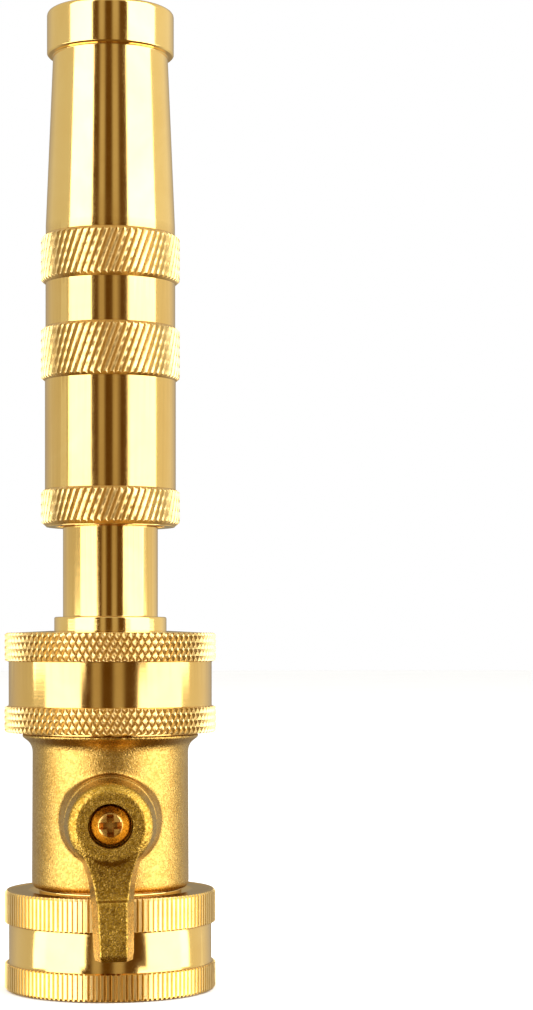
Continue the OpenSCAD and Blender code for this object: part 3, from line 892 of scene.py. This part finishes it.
def makeCastBrass(name, look):
    material, tree, surface = newFinish(name, Metallic=1.0)
    grain = useGroup(tree, castGrain, grain=look["grain"]).outputs
    dull = useGroup(tree, tarnish, size=look["patchSize"]).outputs["patches"]
    wearAndShade = useGroup(tree, edgeWearAndHollowShade, reach=look["edgeReach"]).outputs
    colour = blendColours(tree, dull, look["bright"], look["dull"])
    colour = blendColours(tree, maths(tree, "MULTIPLY", grain["glint"], look["glint"]),
                          colour, look["shine"])
    stain = maths(tree, "MULTIPLY", grain["pits"], look["stain"])
    colour = blendColours(tree, stain, colour, look["deep"])
    colour = blendColours(tree, maths(tree, "MULTIPLY", wearAndShade["edges"], look["edgeShine"]),
                          colour, look["shine"])
    tree.links.new(colour, surface.inputs["Base Color"])
    rough = maths(tree, "MULTIPLY_ADD", grain["glint"], -look["roughSpread"], look["rough"])
    tree.links.new(rough, surface.inputs["Roughness"])
    bump = addNode(tree, "ShaderNodeBump", {"Height": grain["height"], "Strength": look["bump"],
                                            "Distance": look["bumpDepth"] * mm})
    tree.links.new(bump.outputs[0], surface.inputs["Normal"])
    return material


def makeRubber(name, look):
    material, tree, surface = newFinish(name, Specular_IOR_Level=0.35, Sheen_Weight=0.15)
    grain = useGroup(tree, castGrain, grain=0.12).outputs
    dust = useGroup(tree, tarnish, size=3.0).outputs["patches"]
    colour = blendColours(tree, dust, look["base"], look["bloom"])
    tree.links.new(colour, surface.inputs["Base Color"])
    rough = maths(tree, "MULTIPLY_ADD", dust, 0.18, look["rough"])
    tree.links.new(rough, surface.inputs["Roughness"])
    bump = addNode(tree, "ShaderNodeBump", {"Height": grain["height"], "Strength": 0.25,
                                            "Distance": 0.02 * mm})
    tree.links.new(bump.outputs[0], surface.inputs["Normal"])
    return material


def makeSeatPlastic(name, look):
    material, tree, surface = newFinish(name, Subsurface_Weight=0.2, Subsurface_Scale=0.001)
    marks = useGroup(tree, latheMarks, pitch=0.15).outputs
    shade = useGroup(tree, tarnish, size=4.0).outputs["patches"]
    tree.links.new(blendColours(tree, shade, look["base"], look["bloom"]),
                   surface.inputs["Base Color"])
    rough = maths(tree, "MULTIPLY_ADD", marks["fine"], 0.15, look["rough"])
    tree.links.new(rough, surface.inputs["Roughness"])
    bump = addNode(tree, "ShaderNodeBump", {"Height": marks["height"], "Strength": 0.15,
                                            "Distance": 0.02 * mm})
    tree.links.new(bump.outputs[0], surface.inputs["Normal"])
    return material


# hollowShadeDepth sets how far the hollows of the turned finishes are darkened: painted shade
looks = {
    "turnedBrass": {
        "bright": (0.87, 0.60, 0.215, 1), "dull": (0.83, 0.55, 0.18, 1),
        "deep": (0.50, 0.26, 0.05, 1), "pitch": 0.09, "patchSize": 11.0,
        "hollowShadeDepth": 0.5, "rough": 0.05, "roughSpread": 0.09, "bump": 0.16},
    "gripBrass": {
        "bright": (0.84, 0.61, 0.26, 1), "dull": (0.79, 0.55, 0.20, 1),
        "deep": (0.38, 0.18, 0.025, 1), "pitch": 0.12, "patchSize": 7.0,
        "hollowShadeDepth": 0.85, "rough": 0.22, "roughSpread": 0.14, "bump": 0.2},
    "screwBrass": {
        "bright": (0.86, 0.57, 0.19, 1), "dull": (0.76, 0.45, 0.11, 1),
        "deep": (0.36, 0.15, 0.02, 1), "pitch": 0.10, "patchSize": 2.0,
        "hollowShadeDepth": 0.8, "rough": 0.16, "roughSpread": 0.15, "bump": 0.15},
    "ballChrome": {
        "bright": (0.72, 0.73, 0.75, 1), "dull": (0.66, 0.67, 0.69, 1), "deep": (0.3, 0.3, 0.3, 1),
        "pitch": 0.08, "patchSize": 6.0, "hollowShadeDepth": 0.3, "rough": 0.04, "roughSpread": 0.05,
        "bump": 0.03},
    "castBrass": {
        "bright": (0.42, 0.24, 0.05, 1), "dull": (0.36, 0.195, 0.032, 1),
        "deep": (0.2, 0.08, 0.008, 1), "shine": (0.84, 0.6, 0.2, 1), "grain": 0.22,
        "patchSize": 8.0, "glint": 0.3, "stain": 0.3, "edgeReach": 0.1, "edgeShine": 0.15,
        "rough": 0.34, "roughSpread": 0.1, "bump": 1.0, "bumpDepth": 0.05},
    "leverBrass": {
        "bright": (0.35, 0.19, 0.018, 1), "dull": (0.29, 0.15, 0.01, 1),
        "deep": (0.13, 0.055, 0.004, 1), "shine": (0.82, 0.57, 0.15, 1), "grain": 0.25,
        "patchSize": 6.0, "glint": 0.36, "stain": 0.6, "edgeReach": 0.09, "edgeShine": 0.25,
        "rough": 0.35, "roughSpread": 0.14, "bump": 1.0, "bumpDepth": 0.075},
    "sealRubber": {"base": (0.018, 0.018, 0.02, 1), "bloom": (0.05, 0.05, 0.055, 1), "rough": 0.5},
    "seatPlastic": {"base": (0.82, 0.82, 0.79, 1), "bloom": (0.72, 0.71, 0.66, 1), "rough": 0.4},
}
turnedBrass = makeTurnedMetal("turnedBrass", looks["turnedBrass"])
gripBrass = makeTurnedMetal("gripBrass", looks["gripBrass"])
screwBrass = makeTurnedMetal("screwBrass", looks["screwBrass"])
ballChrome = makeTurnedMetal("ballChrome", looks["ballChrome"])
castBrass = makeCastBrass("castBrass", looks["castBrass"])
leverBrass = makeCastBrass("leverBrass", looks["leverBrass"])
sealRubber = makeRubber("sealRubber", looks["sealRubber"])
seatPlastic = makeSeatPlastic("seatPlastic", looks["seatPlastic"])


def radiusOf(point):
    return math.hypot(point.x, point.y)


def onTeeth(bands, inner):
    # faces that belong to a knurled or fluted band rather than to the polished body
    def test(point, normal):
        height, radius = point.z, radiusOf(point)
        return radius > inner and any(low <= height <= high for low, high in bands)
    return test


def isMachined(point, normal):
    bore = valve["machinedBore"]
    inBore = (radiusOf(point) < bore["within"] and point.z < bore["under"]
              and point.y > bore["behind"])
    return point.z > valve["machinedFrom"] or inBore


paint(twistSleeve, turnedBrass)
paint(twistSleeve, gripBrass, onTeeth(sleeve["bands"], sleeve["toothed"]))
paint(nozzleStem, turnedBrass)
paint(nozzleCoupling, turnedBrass)
bandSpans = [(coupling[key]["low"], coupling[key]["high"]) for key in ("lowBand", "highBand")]
paint(nozzleCoupling, gripBrass, onTeeth(bandSpans, coupling["toothed"]))
paint(inletNut, turnedBrass)
bandSpans = [(nut[key]["low"], nut[key]["high"]) for key in ("lowBand", "highBand")]
paint(inletNut, gripBrass, onTeeth(bandSpans, nut["toothed"]))
paint(valveBody, castBrass)
paint(valveBody, turnedBrass, isMachined)
paint(valveLever, leverBrass)
paint(leverScrew, screwBrass)
paint(valveBall, ballChrome)
paint(valveStem, turnedBrass)
paint(tailpiece, turnedBrass)
for piece in seats:
    paint(piece, seatPlastic)
for piece in rubberPieces.values():
    paint(piece, sealRubber)


# which body each piece rides on, and the solid it stands for

ridesOn = [
    (twistSleeve, "sleeve", "nozzle_sleeve"),
    (rubberPieces["wiperRing"], "wiper_ring", "sleeve_wiper_ring"),
    (nozzleStem, "nozzle_base", "nozzle_stem"),
    (nozzleCoupling, "nozzle_base", "nozzle_coupling"),
    (rubberPieces["sealRing"], "nozzle_base", "stem_seal_ring"),
    (rubberPieces["shutoffRing"], "nozzle_base", "shutoff_ring"),
    (rubberPieces["couplingWasher"], "coupling_washer", "coupling_washer"),
    (valveBody, "valve", "valve_body"),
    (tailpiece, "valve", "tailpiece"),
    (seats[0], "valve", "seat_upper"),
    (seats[1], "valve", "seat_lower"),
    (valveLever, "lever", "lever"),
    (leverScrew, "lever", "lever_screw"),
    (valveStem, "lever", "valve_stem"),
    (valveBall, "lever", "valve_ball"),
    (rubberPieces["stemRingInner"], "lever", "stem_oring_inner"),
    (rubberPieces["stemRingOuter"], "lever", "stem_oring_outer"),
    (inletNut, "inlet", "inlet_nut"),
    (rubberPieces["inletWasher"], "inlet", "inlet_washer"),
]
for piece, body, node in ridesOn:
    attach(piece, body)
    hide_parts(node)
print("pieces ride on their bodies:", len(ridesOn))


# the floor, the camera and the studio light

studio = {
    # the lens is level, and its shift brings the whole nozzle into the frame
    "camera": {"location": (0, -0.361, 0.0524), "turn": -3.77, "lens": 84.4, "shiftUp": 0.1356},
    "softboxes": {
        # from and to, in degrees round from straight ahead, and the heights of foot and top
        "leftHigh": {"from": -77, "to": -33, "foot": 0.055, "top": 0.9},
        "rightHigh": {"from": 31, "to": 87, "foot": 0.055, "top": 0.9},
        "leftLow": {"from": -96, "to": -28, "foot": -0.45, "top": 0.055},
        "rightLow": {"from": 41, "to": 99, "foot": -0.45, "top": 0.055}},
    "distance": 0.7,
    "strength": 4.2,  # the brightness that a box shows
    "floorSize": 8,
    "floorDepth": 0.0002,
}

deselectAll()
bpy.ops.mesh.primitive_plane_add(size=studio["floorSize"],
                                 location=(0, 0, cadLow[2] - studio["floorDepth"]))
floor = nameNew("floor")
settle(floor)
floorPaint, floorTree, floorSurface = newFinish("floorPaint", Roughness=0.9)
floorMottle = useGroup(floorTree, tarnish, size=60.0).outputs["patches"]
floorColour = blendColours(floorTree, floorMottle, (0.86, 0.86, 0.86, 1), (0.84, 0.84, 0.84, 1))
floorTree.links.new(floorColour, floorSurface.inputs["Base Color"])
floor.data.materials.append(floorPaint)
floor.visible_glossy = False

cameraData = bpy.data.cameras.new("camera")
cameraData.lens = studio["camera"]["lens"]
cameraData.shift_y = studio["camera"]["shiftUp"]
cameraData.clip_start = 0.01
camera = bpy.data.objects.new("camera", cameraData)
camera.location = studio["camera"]["location"]
camera.rotation_euler = (math.radians(90), 0, math.radians(studio["camera"]["turn"]))
bpy.context.scene.collection.objects.link(camera)
bpy.context.scene.camera = camera

for name, box in studio["softboxes"].items():
    middle = math.radians((box["from"] + box["to"]) / 2)
    half = math.radians((box["to"] - box["from"]) / 2)
    data = bpy.data.lights.new(name, "AREA")
    data.shape = "RECTANGLE"
    data.size = 2 * studio["distance"] * math.tan(half)
    data.size_y = box["top"] - box["foot"]
    data.energy = studio["strength"] * math.pi * data.size * data.size_y
    light = bpy.data.objects.new(name, data)
    light.location = (studio["distance"] * math.sin(middle), -studio["distance"] * math.cos(middle),
                      (box["top"] + box["foot"]) / 2)
    light.rotation_euler = (math.radians(90), 0, middle)
    light.visible_camera = False
    bpy.context.scene.collection.objects.link(light)


dark, strip, behind = (0.13, 0.06, 0.006), (0.6, 0.5, 0.32), (0.3, 0.25, 0.16)
paleLeft, paleRight, corner = (0.76, 0.75, 0.66), (1, 0.98, 0.86), (0.45, 0.4, 0.3)
surroundings = {
    # what the brass mirrors, in degrees round from straight ahead: dark in front with two faint
    # strips, pale at the sides
    "round": [
        (-180, behind), (-165, corner), (-130, paleLeft), (-79, paleLeft), (-77, dark),
        (-22, dark), (-19, strip), (-12, strip), (-9, dark), (2, dark), (5, strip), (13, strip),
        (17, dark), (36, dark), (86, dark), (88, paleRight), (130, paleRight), (165, corner),
        (180, behind)],
    "above": (0.78, 0.74, 0.62, 1),
    "aboveFrom": (0.72, 0.9),
    "below": (0.2, 0.11, 0.03, 1),
    "belowFrom": (0.12, 0.3),
    "onFloor": (1.3, 1.3, 1.3, 1),
    "seen": (1, 1, 1, 1),
}


def makeStudioWorld(around):
    # plain white to the camera, and the surroundings to whatever mirrors them
    world = bpy.data.worlds.new("studio")
    world.use_nodes = True
    tree = world.node_tree
    tree.nodes.clear()
    way = addNode(tree, "ShaderNodeTexCoord").outputs["Generated"]
    parts = addNode(tree, "ShaderNodeSeparateXYZ", {0: way}).outputs
    angle = maths(tree, "ARCTAN2", parts[0], maths(tree, "MULTIPLY", parts[1], -1.0))
    turn = maths(tree, "MULTIPLY_ADD", angle, 1 / tau, 0.5)
    colour = ramp(tree, turn, [(0.5 + degrees / 360, shade) for degrees, shade in around["round"]])
    height = maths(tree, "MULTIPLY_ADD", parts[2], 0.5, 0.5)
    (first, last), (low, high) = around["aboveFrom"], around["belowFrom"]
    up = ramp(tree, height, [(first, 0.0), (last, 1.0)])
    colour = blendColours(tree, up, colour, around["above"])
    down = ramp(tree, height, [(low, 1.0), (high, 0.0)])
    colour = blendColours(tree, down, colour, around["below"])
    rays = addNode(tree, "ShaderNodeLightPath").outputs
    colour = blendColours(tree, rays["Is Diffuse Ray"], colour, around["onFloor"])
    colour = blendColours(tree, rays["Is Camera Ray"], colour, around["seen"])
    background = addNode(tree, "ShaderNodeBackground", {0: colour, 1: 1.0})
    addNode(tree, "ShaderNodeOutputWorld", {0: background.outputs[0]})
    return world


bpy.context.scene.world = makeStudioWorld(surroundings)
bpy.context.scene.view_settings.view_transform = "Standard"
print("studio set")
